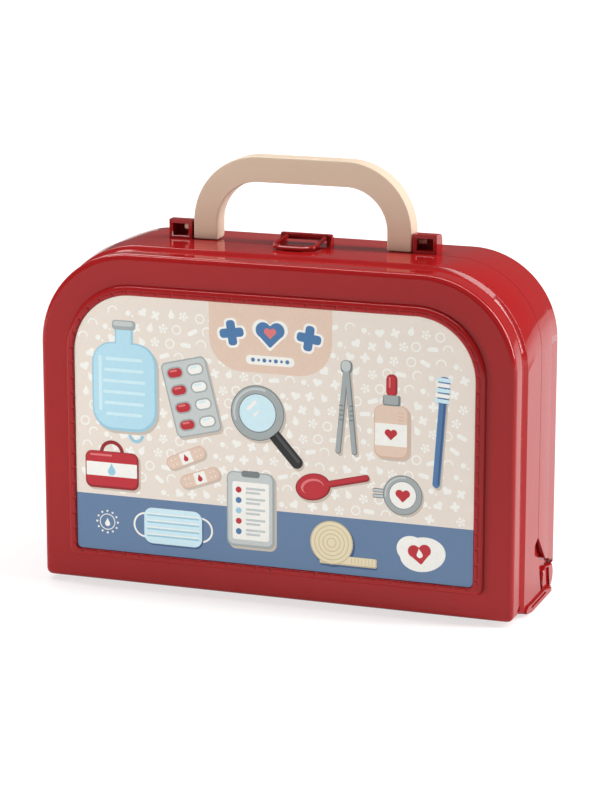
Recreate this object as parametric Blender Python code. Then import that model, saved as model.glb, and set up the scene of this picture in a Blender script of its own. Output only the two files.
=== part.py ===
"""Toy doctor case: a red moulded case in two halves, with a folding handle, a hoop latch and a front card.

Metres, +Z up. The case stands on its bottom, its card faces -Y, and the origin is under its middle.
Depths are measured from the flat band of the face and are turned into y by the function depth().
"""

import math

import bmesh
import bpy
from mathutils import Vector

# Case body
CASE_WIDTH = 0.3366
CASE_HEIGHT = 0.233
CASE_DEPTH = 0.103
WALL = 0.0022
TOP_RADIUS = 0.0605
FOOT_RADIUS = 0.002
BACK_ROUND = 0.0035
PARTING_DEPTH = 0.056
PARTING_GAP = 0.0004
PARTING_EDGE = 0.00025
CREASE_SHARE = 0.7027
CREASE_STEP = 0.0008

# Face flange, which is a little smaller than the body behind it
FACE_INSET = 0.0019
FACE_LIFT = 0.003
FACE_TOP_RADIUS = 0.0645
FACE_FOOT_RADIUS = 0.004
FACE_ROUND = 0.004
FLANGE_DEPTH = 0.018
COVE_DEPTH = 0.005
COVE_DIP = 0.0006
NOSE_SHARE = 0.6667
NOSE_RADIUS = 0.066

# Raised plateau with the recess for the card
BAND_SIDE = 0.01915
BAND_TOP = 0.0202
BAND_FOOT = 0.0171
PLATEAU_RISE = 0.0035
PLATEAU_SLOPE = 0.0032
CARD_MARGIN = 0.007
CARD_MARGIN_FOOT = 0.006
CARD_RADIUS = 0.0412
CARD_FOOT_RADIUS = 0.003
CARD_THICKNESS = 0.0004
CARD_SINK = 0.0008
RIM_EDGE = 0.0004

# Rabbet tongue of the front half, which slides into the back half
TONGUE_LENGTH = 0.0035
TONGUE_WALL = 0.0014
TONGUE_LAND = 0.006
SLIDE_GAP = 0.0005

# Hinge at the bottom-back edge. A share is a part of the way from the parting line to the hinge axis;
# in the two outlines its partner is a part of the horn's height.
BARREL_RADIUS = 0.010
BARREL_TOP_ANGLE = math.radians(62)
STUD_RADIUS = 0.003
STUD_LENGTH = 0.0033
BORE_GAP = 0.0003
EAR_WIDTH = 0.0038
EAR_INSET = 0.0008
EAR_FRONT_SHARE = 0.4378
EAR_TOP = 0.0195
EAR_ROUND = 0.003
EAR_RIM = 0.0013
EAR_RECESS = 0.0012
EAR_STRIP = 0.014
EAR_SHOULDER = math.radians(42)
CHEEK_WIDTH = 0.003
CHEEK_RADIUS = 0.0065
CHEEK_HEIGHT = 0.034
RUNNING_GAP = 0.0007
SWING_GAP = 0.0012
RIM_HEIGHT = 0.0057
RIM_PROUD = 0.0014
GROOVE_CUT = 0.0009
LEAF_TOP = 0.0469
LEAF_REACH = 0.0114
HORN_SHARE = 0.473
HORN_HEIGHT = 0.0258
HORN_TIP = 0.0005
SKIRT_EDGE = ((0.527, 1.039), (0.635, 0.996), (0.751, 0.950), (0.865, 0.895), (0.959, 0.845))
POCKET_EDGE = ((0.297, 0.221), (0.224, 0.372), (0.149, 0.717), (0.103, 0.977), (0.195, 1.016))
NOTCH_RADIUS = 0.0024
NOTCH_HEIGHT = 0.0078
NOTCH_CUT = 0.0012

# Handle
HANDLE_SPAN = 0.155
HANDLE_RISE = 0.0588
HANDLE_BAR = 0.0174
HANDLE_THICK = 0.0145
HANDLE_RADIUS = 0.0465
HANDLE_EDGE = 0.0012
HANDLE_BEHIND = 0.0095
SEAT_GAP = 0.0003
PIN_RADIUS = 0.0023
PIN_LENGTH = 0.0085
LUG_GAP = 0.001
LUG_WIDTH = 0.0165
LUG_LENGTH = 0.013
LUG_WALL = 0.0026
LUG_ABOVE_PIN = 0.0054
LUG_SILL = 0.002

# Latch
LATCH_WIDTH = 0.0295
LATCH_FLARE = 0.0014
LATCH_LENGTH = 0.0314
LATCH_BEHIND = 0.014
LATCH_RISE = 0.0046
LATCH_BAR_RADIUS = 0.0024
LATCH_WIRE_RADIUS = 0.0015
LATCH_CORNER = 0.009
LATCH_PIN_RADIUS = 0.0012
LATCH_EAR_WIDTH = 0.0032
LATCH_EAR_ROUND = 0.0014
CATCH_WIDTH = 0.013
CATCH_LENGTH = 0.003
CATCH_HEIGHT = 0.0026
CATCH_GAP = 0.0004

# Facets
TOP_SEGMENTS = 20
FOOT_SEGMENTS = 3
ROUND_STEPS = 4
CIRCLE_SEGMENTS = 40
SMALL_SEGMENTS = 20

# Colours: linear RGB, roughness
RED = ((0.42, 0.028, 0.030), 0.28)
BEIGE = ((0.58, 0.42, 0.30), 0.42)
CARD = ((0.85, 0.80, 0.72), 0.55)

HALF_WIDTH = CASE_WIDTH / 2
FACE_Y = -(CASE_DEPTH - PLATEAU_RISE) / 2
RECESS_FLOOR = PLATEAU_RISE - CARD_SINK - CARD_THICKNESS - SEAT_GAP
NOSE_START = FLANGE_DEPTH + COVE_DEPTH
NOSE_LENGTH = NOSE_SHARE * (PARTING_DEPTH - TONGUE_LAND - NOSE_START)
NOSE_END = NOSE_START + NOSE_LENGTH
RIM_START = NOSE_START + 0.1 * NOSE_LENGTH
HINGE_Y = FACE_Y + CASE_DEPTH - BARREL_RADIUS
HINGE_Z = BARREL_RADIUS
HINGE_REACH = CASE_DEPTH - BARREL_RADIUS - PARTING_DEPTH
CREASE_DEPTH = PARTING_DEPTH + CREASE_SHARE * HINGE_REACH
EAR_FRONT = PARTING_DEPTH + EAR_FRONT_SHARE * HINGE_REACH
HORN_DEPTH = PARTING_DEPTH + HORN_SHARE * HINGE_REACH
EAR_OUTER = HALF_WIDTH - EAR_INSET
EAR_INNER = HALF_WIDTH - EAR_WIDTH
SLOT_INNER = EAR_INNER - CHEEK_WIDTH - 2 * RUNNING_GAP
HANDLE_DEPTH = PARTING_DEPTH + HANDLE_BEHIND
HANDLE_PIVOT_Z = CASE_HEIGHT + SEAT_GAP + HANDLE_THICK / 2
LUG_FRONT = FACE_Y + HANDLE_DEPTH - HANDLE_THICK / 2 - SLIDE_GAP
LATCH_DEPTH = PARTING_DEPTH + LATCH_BEHIND


def depth(distance):
    """y of a place that lies this far behind the flat band of the face."""
    return FACE_Y + distance


def behind_parting(outline):
    """Points (y, z) of an outline given in shares of the hinge's reach and of the horn's height."""
    return [(depth(PARTING_DEPTH + share * HINGE_REACH), rise * HORN_HEIGHT) for share, rise in outline]


def clear_scene():
    for obj in list(bpy.data.objects):
        bpy.data.objects.remove(obj)


def make_material(name, look):
    colour, roughness = look
    material = bpy.data.materials.new(name)
    material.use_nodes = True
    shader = material.node_tree.nodes["Principled BSDF"]
    shader.inputs["Base Color"].default_value = (*colour, 1.0)
    shader.inputs["Roughness"].default_value = roughness
    shader.inputs["Metallic"].default_value = 0.0
    material.diffuse_color = (*colour, 1.0)
    return material


def make_pivot(name, location, parent=None):
    """An empty on a joint's axis, which carries the pieces that turn about it."""
    pivot = bpy.data.objects.new(name, None)
    bpy.context.collection.objects.link(pivot)
    pivot.parent = parent
    if parent is not None:
        pivot.location = Vector(location) - parent.matrix_world.translation
    else:
        pivot.location = location
    bpy.context.view_layer.update()
    return pivot


def make_object(name, bm, material, pivot, smooth_angle=30):
    """Mesh in world coordinates to a named object, whose origin is on its pivot."""
    bmesh.ops.recalc_face_normals(bm, faces=bm.faces)
    origin = pivot.matrix_world.translation
    bmesh.ops.translate(bm, verts=bm.verts, vec=-origin)
    mesh = bpy.data.meshes.new(name)
    bm.to_mesh(mesh)
    bm.free()
    mesh.materials.append(material)
    mesh.shade_smooth()
    mesh.set_sharp_from_angle(angle=math.radians(smooth_angle))
    obj = bpy.data.objects.new(name, mesh)
    bpy.context.collection.objects.link(obj)
    obj.parent = pivot
    return obj


def add_tool(target, bm, operation):
    """Boolean of the target with a hidden tool mesh given in world coordinates."""
    bmesh.ops.recalc_face_normals(bm, faces=bm.faces)
    bmesh.ops.translate(bm, verts=bm.verts, vec=-target.parent.matrix_world.translation)
    name = f"{target.name}_tool_{len(target.modifiers) + 1:02d}"
    mesh = bpy.data.meshes.new(name)
    bm.to_mesh(mesh)
    bm.free()
    mesh.materials.append(target.data.materials[0])
    mesh.shade_smooth()
    mesh.set_sharp_from_angle(angle=math.radians(30))
    tool = bpy.data.objects.new(name, mesh)
    bpy.context.collection.objects.link(tool)
    tool.parent = target.parent
    tool.hide_render = True
    tool.display_type = "WIRE"
    modifier = target.modifiers.new(name, "BOOLEAN")
    modifier.operation = operation
    modifier.solver = "EXACT"
    modifier.object = tool


def rounded_outline(half, bottom, top, top_radius, foot_radius):
    """Points (x, z) of a rectangle with large top corners and small bottom ones, anticlockwise."""
    corners = (
        (half - foot_radius, bottom + foot_radius, foot_radius, -90, FOOT_SEGMENTS),
        (half - top_radius, top - top_radius, top_radius, 0, TOP_SEGMENTS),
        (top_radius - half, top - top_radius, top_radius, 90, TOP_SEGMENTS),
        (foot_radius - half, bottom + foot_radius, foot_radius, 180, FOOT_SEGMENTS),
    )
    points = []
    for x, z, radius, start, segments in corners:
        for step in range(segments + 1):
            angle = math.radians(start + 90 * step / segments)
            points.append((x + radius * math.cos(angle), z + radius * math.sin(angle)))
    return points


def body_outline(inset, lift=None, foot_radius=FOOT_RADIUS, top_radius=TOP_RADIUS):
    """Outline of the body, drawn in by inset at the top and sides, and at the bottom too without a lift."""
    bottom = inset if lift is None else lift
    return rounded_outline(HALF_WIDTH - inset, bottom, CASE_HEIGHT - inset, top_radius - inset, foot_radius)


def face_outline(inset, foot_radius=FACE_FOOT_RADIUS):
    """Outline of the face flange, drawn in all round by inset."""
    radius = FACE_TOP_RADIUS + FACE_INSET
    return body_outline(FACE_INSET + inset, FACE_LIFT + inset, foot_radius, radius)


def card_outline(grow):
    """Outline of the card, grown by this much all round."""
    side = FACE_INSET + BAND_SIDE + CARD_MARGIN - grow
    top = FACE_INSET + BAND_TOP + CARD_MARGIN - grow
    foot = FACE_LIFT + BAND_FOOT + CARD_MARGIN_FOOT * (1 - grow / CARD_MARGIN)
    foot_radius = CARD_FOOT_RADIUS + 0.3 * grow
    return rounded_outline(HALF_WIDTH - side, foot, CASE_HEIGHT - top, CARD_RADIUS + grow, foot_radius)


def skin(bm, rings):
    """Faces between neighbouring rings of vertices, and over the first and the last ring."""
    count = len(rings[0])
    for near, far in zip(rings, rings[1:]):
        for i in range(count):
            j = (i + 1) % count
            bm.faces.new((near[i], near[j], far[j], far[i]))
    bm.faces.new(rings[0])
    bm.faces.new(rings[-1])


def add_loft(bm, stations):
    """Closed solid through outlines of equal point counts; a station is (y, outline of x and z)."""
    rings = []
    for y, outline in stations:
        rings.append([bm.verts.new((x, y, z)) for x, z in outline])
    skin(bm, rings)


def loft(stations):
    bm = bmesh.new()
    add_loft(bm, stations)
    return bm


def add_prism(bm, profile, x_from, x_to):
    """Solid with a side profile of (y, z) points, drawn out along x."""
    skin(bm, [[bm.verts.new((x, y, z)) for y, z in profile] for x in (x_from, x_to)])


def prism(profile, x_from, x_to):
    bm = bmesh.new()
    add_prism(bm, profile, x_from, x_to)
    return bm


def twin_prisms(profile, x_from, x_to):
    """The same prism on the right and, mirrored, on the left."""
    bm = bmesh.new()
    add_prism(bm, profile, x_from, x_to)
    add_prism(bm, profile, -x_to, -x_from)
    return bm


def arc(centre, radius, start, end, segments):
    """Points of an arc; angles in radians, from the first axis to the second."""
    points = []
    for step in range(segments + 1):
        angle = start + (end - start) * step / segments
        points.append((centre[0] + radius * math.cos(angle), centre[1] + radius * math.sin(angle)))
    return points


def circle(centre, radius, segments=CIRCLE_SEGMENTS):
    return arc(centre, radius, 0, math.tau, segments)[:-1]


def quarter_round(radius):
    """Pairs (run, inset) of a quarter round, from the face at the full inset to the side at none."""
    points = []
    for step in range(ROUND_STEPS + 1):
        angle = math.pi / 2 * step / ROUND_STEPS
        points.append((radius * (1 - math.cos(angle)), radius * (1 - math.sin(angle))))
    return points


def plateau_stations():
    """From the floor of the card's recess over the rim and down its slope to the flat band."""
    crest = CARD_MARGIN - PLATEAU_SLOPE
    stations = [
        (depth(-RECESS_FLOOR), card_outline(SEAT_GAP)),
        (depth(-PLATEAU_RISE + RIM_EDGE), card_outline(SEAT_GAP)),
        (depth(-PLATEAU_RISE), card_outline(SEAT_GAP + RIM_EDGE)),
    ]
    for out, down in ((0.0, 0.0), (0.30, 0.05), (0.58, 0.20), (0.76, 0.45), (0.88, 0.78), (1.0, 1.0)):
        stations.append((depth(-PLATEAU_RISE * (1 - down)), card_outline(crest + PLATEAU_SLOPE * out)))
    return stations


def nose_lift(distance):
    """Height of the underside, which rises in a curve from the floor to the foot of the face flange."""
    share = (NOSE_END - distance) / NOSE_LENGTH
    return FACE_LIFT * min(max(share, 0.0), 1.0) ** 1.3


def nose_outline(distance, inset=0.0):
    """Outline of the nose, whose top corners start wider than the body's and end like them."""
    share = min(max((NOSE_END - distance) / NOSE_LENGTH, 0.0), 1.0)
    radius = TOP_RADIUS + (NOSE_RADIUS - TOP_RADIUS) * share
    return body_outline(inset, nose_lift(distance) + inset, top_radius=radius)


def flange_stations():
    """Rounded front edge, strip and cove of the face flange."""
    stations = []
    for run, inset in quarter_round(FACE_ROUND):
        stations.append((depth(run), face_outline(inset)))
    stations.append((depth(FLANGE_DEPTH), face_outline(0)))
    for distance in (FLANGE_DEPTH + COVE_DIP, FLANGE_DEPTH + 2 * COVE_DIP):
        stations.append((depth(distance), face_outline(COVE_DIP, FOOT_RADIUS)))
    for share, inset_share in ((0.9, 0.16), (1.0, 0.0)):
        distance = FLANGE_DEPTH + COVE_DEPTH * share
        stations.append((depth(distance), nose_outline(distance, FACE_INSET * inset_share)))
    return stations


def front_outer():
    """Outer form of the front half, with its rabbet tongue behind the parting line."""
    stations = plateau_stations() + flange_stations()
    for share in (0.25, 0.5, 0.75, 1.0):
        distance = NOSE_START + NOSE_LENGTH * share
        stations.append((depth(distance), nose_outline(distance)))
    parting = depth(PARTING_DEPTH - PARTING_GAP / 2)
    tongue_end = depth(PARTING_DEPTH + TONGUE_LENGTH)
    tongue_inset = WALL + SLIDE_GAP
    stations.append((parting - PARTING_EDGE, body_outline(0)))
    stations.append((parting, body_outline(PARTING_EDGE, 0)))
    stations.append((parting, body_outline(tongue_inset, WALL / 2)))
    stations.append((tongue_end, body_outline(tongue_inset, WALL / 2)))
    return loft(stations)


def front_cavity():
    """Hollow of the front half: one wall inside the face, the flange and the body."""
    tongue = WALL + SLIDE_GAP + TONGUE_WALL
    land = PARTING_DEPTH - TONGUE_LAND
    stations = [
        (depth(WALL - RECESS_FLOOR), card_outline(0.0)),
        (depth(WALL), card_outline(CARD_MARGIN - WALL)),
        (depth(WALL), face_outline(FACE_ROUND, FOOT_RADIUS)),
        (depth(FACE_ROUND), face_outline(WALL, FOOT_RADIUS)),
        (depth(FLANGE_DEPTH), face_outline(WALL, FOOT_RADIUS)),
        (depth(NOSE_START), nose_outline(NOSE_START, WALL)),
        (depth(NOSE_END), body_outline(WALL)),
        (depth(land), body_outline(WALL)),
        (depth(land) + TONGUE_WALL, body_outline(tongue, WALL)),
        (depth(PARTING_DEPTH + TONGUE_LENGTH) + WALL, body_outline(tongue, WALL)),
    ]
    return loft(stations)


def horn_top():
    """Upper edge of the horn, from the leaf's lowest point to the horn's tip."""
    foot = (depth(PARTING_DEPTH) + 0.35 * LEAF_REACH, LEAF_TOP - 1.39 * LEAF_REACH)
    tip = (depth(HORN_DEPTH), HORN_HEIGHT)
    middle = ((foot[0] + tip[0]) / 2, (foot[1] + tip[1]) / 2 - 0.04 * LEAF_REACH)
    return [foot, middle, tip]


def leaf_profile():
    """The leaf-shaped gap in the side wall of the front half, above the horn."""
    y = depth(PARTING_DEPTH)
    bulge = ((-0.02, 0.0), (-0.50, -0.22), (-0.86, -0.42), (-1.0, -0.60), (-0.90, -0.80), (-0.55, -1.01))
    points = [(y + LEAF_REACH * out, LEAF_TOP + LEAF_REACH * down) for out, down in bulge]
    points.append((y - 0.12 * LEAF_REACH, LEAF_TOP - 1.19 * LEAF_REACH))
    points += horn_top()
    points.append((HINGE_Y, LEAF_TOP))
    return points


def rim_end(end):
    """Back end of the rim at y = end; it grows lower under the ear."""
    return [(end, 0.0), (end, 0.45 * RIM_HEIGHT), (depth(EAR_FRONT) + EAR_TOP / 2, 0.55 * RIM_HEIGHT),
            (depth(EAR_FRONT), RIM_HEIGHT)]


def base_profile():
    """Front half behind the parting line: bottom wall, rim, edge of the pocket and horn."""
    start = depth(PARTING_DEPTH) - TONGUE_LAND
    points = [(start, 0.0)] + rim_end(HINGE_Y) + behind_parting(POCKET_EDGE)
    points.append((depth(HORN_DEPTH), HORN_HEIGHT - HORN_TIP))
    points += reversed(horn_top())
    points.append((start, LEAF_TOP - 1.05 * LEAF_REACH))
    return points


def barrel_profile():
    """Curl of the bottom wall about the hinge axis, as a ring sector."""
    centre = (HINGE_Y, HINGE_Z)
    segments = CIRCLE_SEGMENTS // 2
    outer = arc(centre, BARREL_RADIUS, -math.pi / 2, BARREL_TOP_ANGLE, segments)
    inner = arc(centre, BARREL_RADIUS - WALL, BARREL_TOP_ANGLE, -math.pi / 2, segments)
    return outer + inner + [(HINGE_Y - WALL, WALL), (HINGE_Y - WALL, 0.0)]


def ear_outline(inset):
    """Side outline of the ear: round in front, and on the barrel's circle behind."""
    nose = EAR_TOP / 2
    segments = CIRCLE_SEGMENTS // 2
    behind = arc((HINGE_Y, HINGE_Z), BARREL_RADIUS - inset, -math.pi / 2, EAR_SHOULDER, segments)
    front = arc((depth(EAR_FRONT) + nose, nose), nose - 0.3 * inset, math.pi / 2, 3 * math.pi / 2, segments)
    return behind + front


def rounded_twins(outline, x_inner, x_outer, radius):
    """Prisms on the right and the left with rounded outer edges; outline gives (y, z) points for an inset."""
    bm = bmesh.new()
    stations = [(x_outer - run, outline(inset)) for run, inset in quarter_round(radius)]
    stations.append((x_inner, outline(0)))
    for side in (1, -1):
        skin(bm, [[bm.verts.new((side * x, y, z)) for y, z in points] for x, points in stations])
    return bm


def ear_recess_profile():
    """Sunk front part of the ear's outer side."""
    nose = EAR_TOP / 2
    radius = nose - EAR_RIM
    low = 0.6 * RIM_HEIGHT
    end = math.pi - math.asin((low - nose) / radius)
    front = arc((depth(EAR_FRONT) + nose, nose), radius, math.pi / 2, end, CIRCLE_SEGMENTS // 2)
    back = depth(CASE_DEPTH) - EAR_STRIP
    return front + [(back + 2 * EAR_RIM, low), (back, EAR_TOP - 2 * EAR_RIM)]


def pocket_floor_profile():
    """Wall behind the leaf and the pocket, which reaches a little way inside the back half."""
    front = depth(PARTING_DEPTH - TONGUE_LAND) + TONGUE_WALL
    back = HINGE_Y - CHEEK_RADIUS - RUNNING_GAP
    corner_y, corner_z = behind_parting(SKIRT_EDGE)[0]
    top = LEAF_TOP + WALL / 2
    return [(front, WALL / 2), (back, WALL / 2), (back, corner_z - WALL),
            (corner_y + WALL, corner_z + WALL / 2), (depth(PARTING_DEPTH) + WALL, top), (front, top)]


def sector_profile(radius, start, end):
    """Pie-shaped profile about the hinge axis."""
    return [(HINGE_Y, HINGE_Z)] + arc((HINGE_Y, HINGE_Z), radius, start, end, CIRCLE_SEGMENTS // 2)


def rim_profile():
    """Rim along the bottom of the side, from its rounded nose to the ear."""
    points = []
    for step in range(9):
        distance = RIM_START + (NOSE_END - RIM_START) * step / 8
        points.append((depth(distance), nose_lift(distance)))
    points += rim_end(HINGE_Y - 0.4 * BARREL_RADIUS)
    points.append((depth(NOSE_END), RIM_HEIGHT))
    points.append((depth(RIM_START) + 0.3 * NOSE_LENGTH, RIM_HEIGHT + 0.2 * FACE_LIFT))
    points.append((depth(RIM_START), nose_lift(RIM_START) + 0.3 * RIM_HEIGHT))
    return points


def rim_groove_profile():
    """Shallow groove along the upper part of the rim's side."""
    front = depth(NOSE_END) - 0.2 * NOSE_LENGTH
    back = depth(EAR_FRONT) + EAR_ROUND
    low = 0.45 * RIM_HEIGHT
    high = 0.8 * RIM_HEIGHT
    return [(front, low), (back, low), (back - EAR_ROUND, high), (front, high)]


def catch_profile():
    """Ridge on the front half that the latch's bar hooks behind: a steep front and a sloping back."""
    front = depth(LATCH_DEPTH - LATCH_LENGTH) + LATCH_WIRE_RADIUS + CATCH_GAP
    root = CASE_HEIGHT - WALL / 2
    top = CASE_HEIGHT + CATCH_HEIGHT
    back = front + CATCH_LENGTH
    return [(front, root), (back, root), (back, CASE_HEIGHT), (front + 0.4 * CATCH_LENGTH, top), (front, top)]


def make_front_shell(material, pivot):
    shell = make_object("front_shell", front_outer(), material, pivot)
    add_tool(shell, prism(base_profile(), -HALF_WIDTH, HALF_WIDTH), "UNION")
    add_tool(shell, front_cavity(), "DIFFERENCE")
    add_tool(shell, base_hollow(), "DIFFERENCE")
    add_tool(shell, prism(barrel_profile(), -EAR_INNER, EAR_INNER), "UNION")

    slot = sector_profile(BARREL_RADIUS + SWING_GAP, math.radians(-60), math.radians(120))
    add_tool(shell, twin_prisms(slot, SLOT_INNER, EAR_INNER), "DIFFERENCE")
    web = sector_profile(BARREL_RADIUS - WALL / 2, -math.pi / 2, BARREL_TOP_ANGLE)
    add_tool(shell, twin_prisms(web, SLOT_INNER - WALL, SLOT_INNER), "UNION")

    proud = HALF_WIDTH + RIM_PROUD
    add_tool(shell, twin_prisms(rim_profile(), HALF_WIDTH - WALL, proud), "UNION")
    add_tool(shell, twin_prisms(rim_groove_profile(), proud - GROOVE_CUT, proud + WALL), "DIFFERENCE")
    add_tool(shell, rounded_twins(ear_outline, EAR_INNER, EAR_OUTER, EAR_ROUND), "UNION")
    add_tool(shell, twin_prisms(ear_recess_profile(), EAR_OUTER - EAR_RECESS, HALF_WIDTH), "DIFFERENCE")
    add_tool(shell, twin_prisms(pocket_floor_profile(), EAR_INNER - WALL / 2, EAR_INNER + SEAT_GAP), "UNION")
    stud = circle((HINGE_Y, HINGE_Z), STUD_RADIUS, SMALL_SEGMENTS)
    add_tool(shell, twin_prisms(stud, EAR_INNER - STUD_LENGTH, EAR_INNER + STUD_RADIUS / 2), "UNION")

    back_of_leaf = depth(PARTING_DEPTH) - LEAF_REACH - WALL
    front_of_land = depth(PARTING_DEPTH - TONGUE_LAND) + TONGUE_WALL
    low = LEAF_TOP - 2 * LEAF_REACH
    backing = [(back_of_leaf, low), (front_of_land, low), (front_of_land, LEAF_TOP + WALL),
               (back_of_leaf, LEAF_TOP + WALL)]
    inner = HALF_WIDTH - WALL - SLIDE_GAP - TONGUE_WALL
    add_tool(shell, twin_prisms(backing, inner, HALF_WIDTH - WALL / 2), "UNION")
    add_tool(shell, twin_prisms(leaf_profile(), HALF_WIDTH - WALL, proud + WALL), "DIFFERENCE")
    notch = circle((depth(FLANGE_DEPTH), NOTCH_HEIGHT), NOTCH_RADIUS, SMALL_SEGMENTS)
    flange_side = HALF_WIDTH - FACE_INSET
    add_tool(shell, twin_prisms(notch, flange_side - NOTCH_CUT, flange_side + NOTCH_CUT), "DIFFERENCE")
    add_tool(shell, prism(catch_profile(), -CATCH_WIDTH / 2, CATCH_WIDTH / 2), "UNION")
    return shell


def base_hollow():
    """Hollow of the front half behind the parting line, over the bottom wall."""
    return loft(((depth(PARTING_DEPTH), body_outline(WALL)), (depth(CASE_DEPTH) + WALL, body_outline(WALL))))


def back_outer():
    """Outer form of the back half: wall, crease and rounded back edge."""
    parting = depth(PARTING_DEPTH + PARTING_GAP / 2)
    stations = [
        (parting, body_outline(PARTING_EDGE)),
        (parting + PARTING_EDGE, body_outline(0)),
        (depth(CREASE_DEPTH), body_outline(0)),
        (depth(CREASE_DEPTH) + CREASE_STEP, body_outline(CREASE_STEP)),
    ]
    for run, inset in reversed(quarter_round(BACK_ROUND)):
        stations.append((depth(CASE_DEPTH) - run, body_outline(CREASE_STEP + inset)))
    return loft(stations)


def back_cavity():
    """Hollow of the back half."""
    parting = depth(PARTING_DEPTH)
    inner = CREASE_STEP + WALL
    stations = [
        (parting - WALL, body_outline(WALL)),
        (depth(CREASE_DEPTH) - WALL, body_outline(WALL)),
        (depth(CREASE_DEPTH) - WALL + CREASE_STEP, body_outline(inner)),
        (depth(CASE_DEPTH - BACK_ROUND), body_outline(inner)),
        (depth(CASE_DEPTH) - WALL, body_outline(inner + BACK_ROUND - WALL)),
    ]
    return loft(stations)


def hinge_clearance():
    """What the back half leaves to the front half: below the edge of its skirt and about the barrel."""
    front = depth(PARTING_DEPTH) - WALL
    back = depth(CASE_DEPTH) + WALL
    arch = arc((HINGE_Y, HINGE_Z), BARREL_RADIUS + SWING_GAP, math.pi / 2, 0, CIRCLE_SEGMENTS // 2)
    apex = [(front, LEAF_TOP), (depth(PARTING_DEPTH), LEAF_TOP)]
    skirt = behind_parting(SKIRT_EDGE)
    return [(front, -WALL)] + apex + skirt + arch + [(back, HINGE_Z), (back, -WALL)]


def cheek_profile():
    """Hinge cheek: round about the stud, with its root on the side wall and the back wall."""
    top = HINGE_Z + CHEEK_HEIGHT
    behind = depth(CASE_DEPTH) - WALL
    ledge = HINGE_Z + BARREL_RADIUS + WALL
    lower = arc((HINGE_Y, HINGE_Z), CHEEK_RADIUS, math.pi, math.tau, CIRCLE_SEGMENTS // 2)
    upper = [(HINGE_Y + CHEEK_RADIUS, ledge), (behind, ledge), (behind, top), (HINGE_Y - CHEEK_RADIUS, top)]
    return lower + upper


def lug_profile():
    """Side profile of a handle lug, flat in front and rounded at the upper back."""
    back = LUG_FRONT + LUG_LENGTH
    top = HANDLE_PIVOT_Z + LUG_ABOVE_PIN
    root = CASE_HEIGHT - WALL / 2
    radius = 0.45 * LUG_LENGTH
    crown = arc((back - radius, top - radius), radius, math.pi / 2, 0, SMALL_SEGMENTS // 4)
    return [(LUG_FRONT, root), (LUG_FRONT, top)] + crown + [(back, root)]


def lug_hollow():
    """Hollow of a lug, open in front."""
    front = LUG_FRONT - WALL
    back = LUG_FRONT + LUG_LENGTH - WALL
    low = CASE_HEIGHT + LUG_SILL
    high = HANDLE_PIVOT_Z + LUG_ABOVE_PIN - LUG_WALL
    return [(front, low), (back, low), (back, high), (front, high)]


def latch_ear_outline(inset):
    """Side outline of a latch ear, as round on top as the latch's bar."""
    centre = (depth(LATCH_DEPTH), CASE_HEIGHT + LATCH_RISE)
    root = CASE_HEIGHT - WALL / 2
    foot = LATCH_RISE - inset
    crown = arc(centre, LATCH_BAR_RADIUS - 0.6 * inset, math.pi, 0, SMALL_SEGMENTS // 2)
    return [(centre[0] - foot, root)] + crown + [(centre[0] + foot, root)]


def make_back_shell(material, pivot):
    shell = make_object("back_shell", back_outer(), material, pivot)
    add_tool(shell, back_cavity(), "DIFFERENCE")
    add_tool(shell, prism(hinge_clearance(), -2 * HALF_WIDTH, 2 * HALF_WIDTH), "DIFFERENCE")

    cheek_out = EAR_INNER - RUNNING_GAP
    cheek_in = cheek_out - CHEEK_WIDTH
    add_tool(shell, twin_prisms(cheek_root_profile(), cheek_in, HALF_WIDTH - WALL / 2 - CREASE_STEP), "UNION")
    add_tool(shell, twin_prisms(cheek_profile(), cheek_in, cheek_out), "UNION")
    bore = circle((HINGE_Y, HINGE_Z), STUD_RADIUS + BORE_GAP, SMALL_SEGMENTS)
    add_tool(shell, twin_prisms(bore, cheek_in - WALL, cheek_out + RUNNING_GAP / 2), "DIFFERENCE")

    lug_in = HANDLE_SPAN / 2 + LUG_GAP
    lug_out = lug_in + LUG_WIDTH
    pin_centre = (depth(HANDLE_DEPTH), HANDLE_PIVOT_Z)
    add_tool(shell, twin_prisms(lug_profile(), lug_in, lug_out), "UNION")
    add_tool(shell, twin_prisms(lug_hollow(), lug_in + LUG_WALL, lug_out - LUG_WALL), "DIFFERENCE")
    pin_bore = circle(pin_centre, PIN_RADIUS + BORE_GAP, SMALL_SEGMENTS)
    add_tool(shell, twin_prisms(pin_bore, lug_in - LUG_GAP, lug_in + 1.5 * LUG_WALL), "DIFFERENCE")

    ear_in = LATCH_WIDTH / 2 + SLIDE_GAP
    ear_out = ear_in + LATCH_EAR_WIDTH
    add_tool(shell, rounded_twins(latch_ear_outline, ear_in, ear_out, LATCH_EAR_ROUND), "UNION")
    latch_centre = (depth(LATCH_DEPTH), CASE_HEIGHT + LATCH_RISE)
    latch_bore = circle(latch_centre, LATCH_PIN_RADIUS + BORE_GAP, SMALL_SEGMENTS)
    bore_end = ear_out - LATCH_EAR_ROUND + SLIDE_GAP
    add_tool(shell, twin_prisms(latch_bore, ear_in - SLIDE_GAP, bore_end), "DIFFERENCE")
    return shell


def cheek_root_profile():
    """Block that carries the cheek on the side wall, clear of the ear."""
    low = HINGE_Z + BARREL_RADIUS + SWING_GAP + WALL
    top = HINGE_Z + CHEEK_HEIGHT
    return [(HINGE_Y - CHEEK_RADIUS, low), (HINGE_Y + CHEEK_RADIUS, low),
            (HINGE_Y + CHEEK_RADIUS, top), (HINGE_Y - CHEEK_RADIUS, top)]


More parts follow.
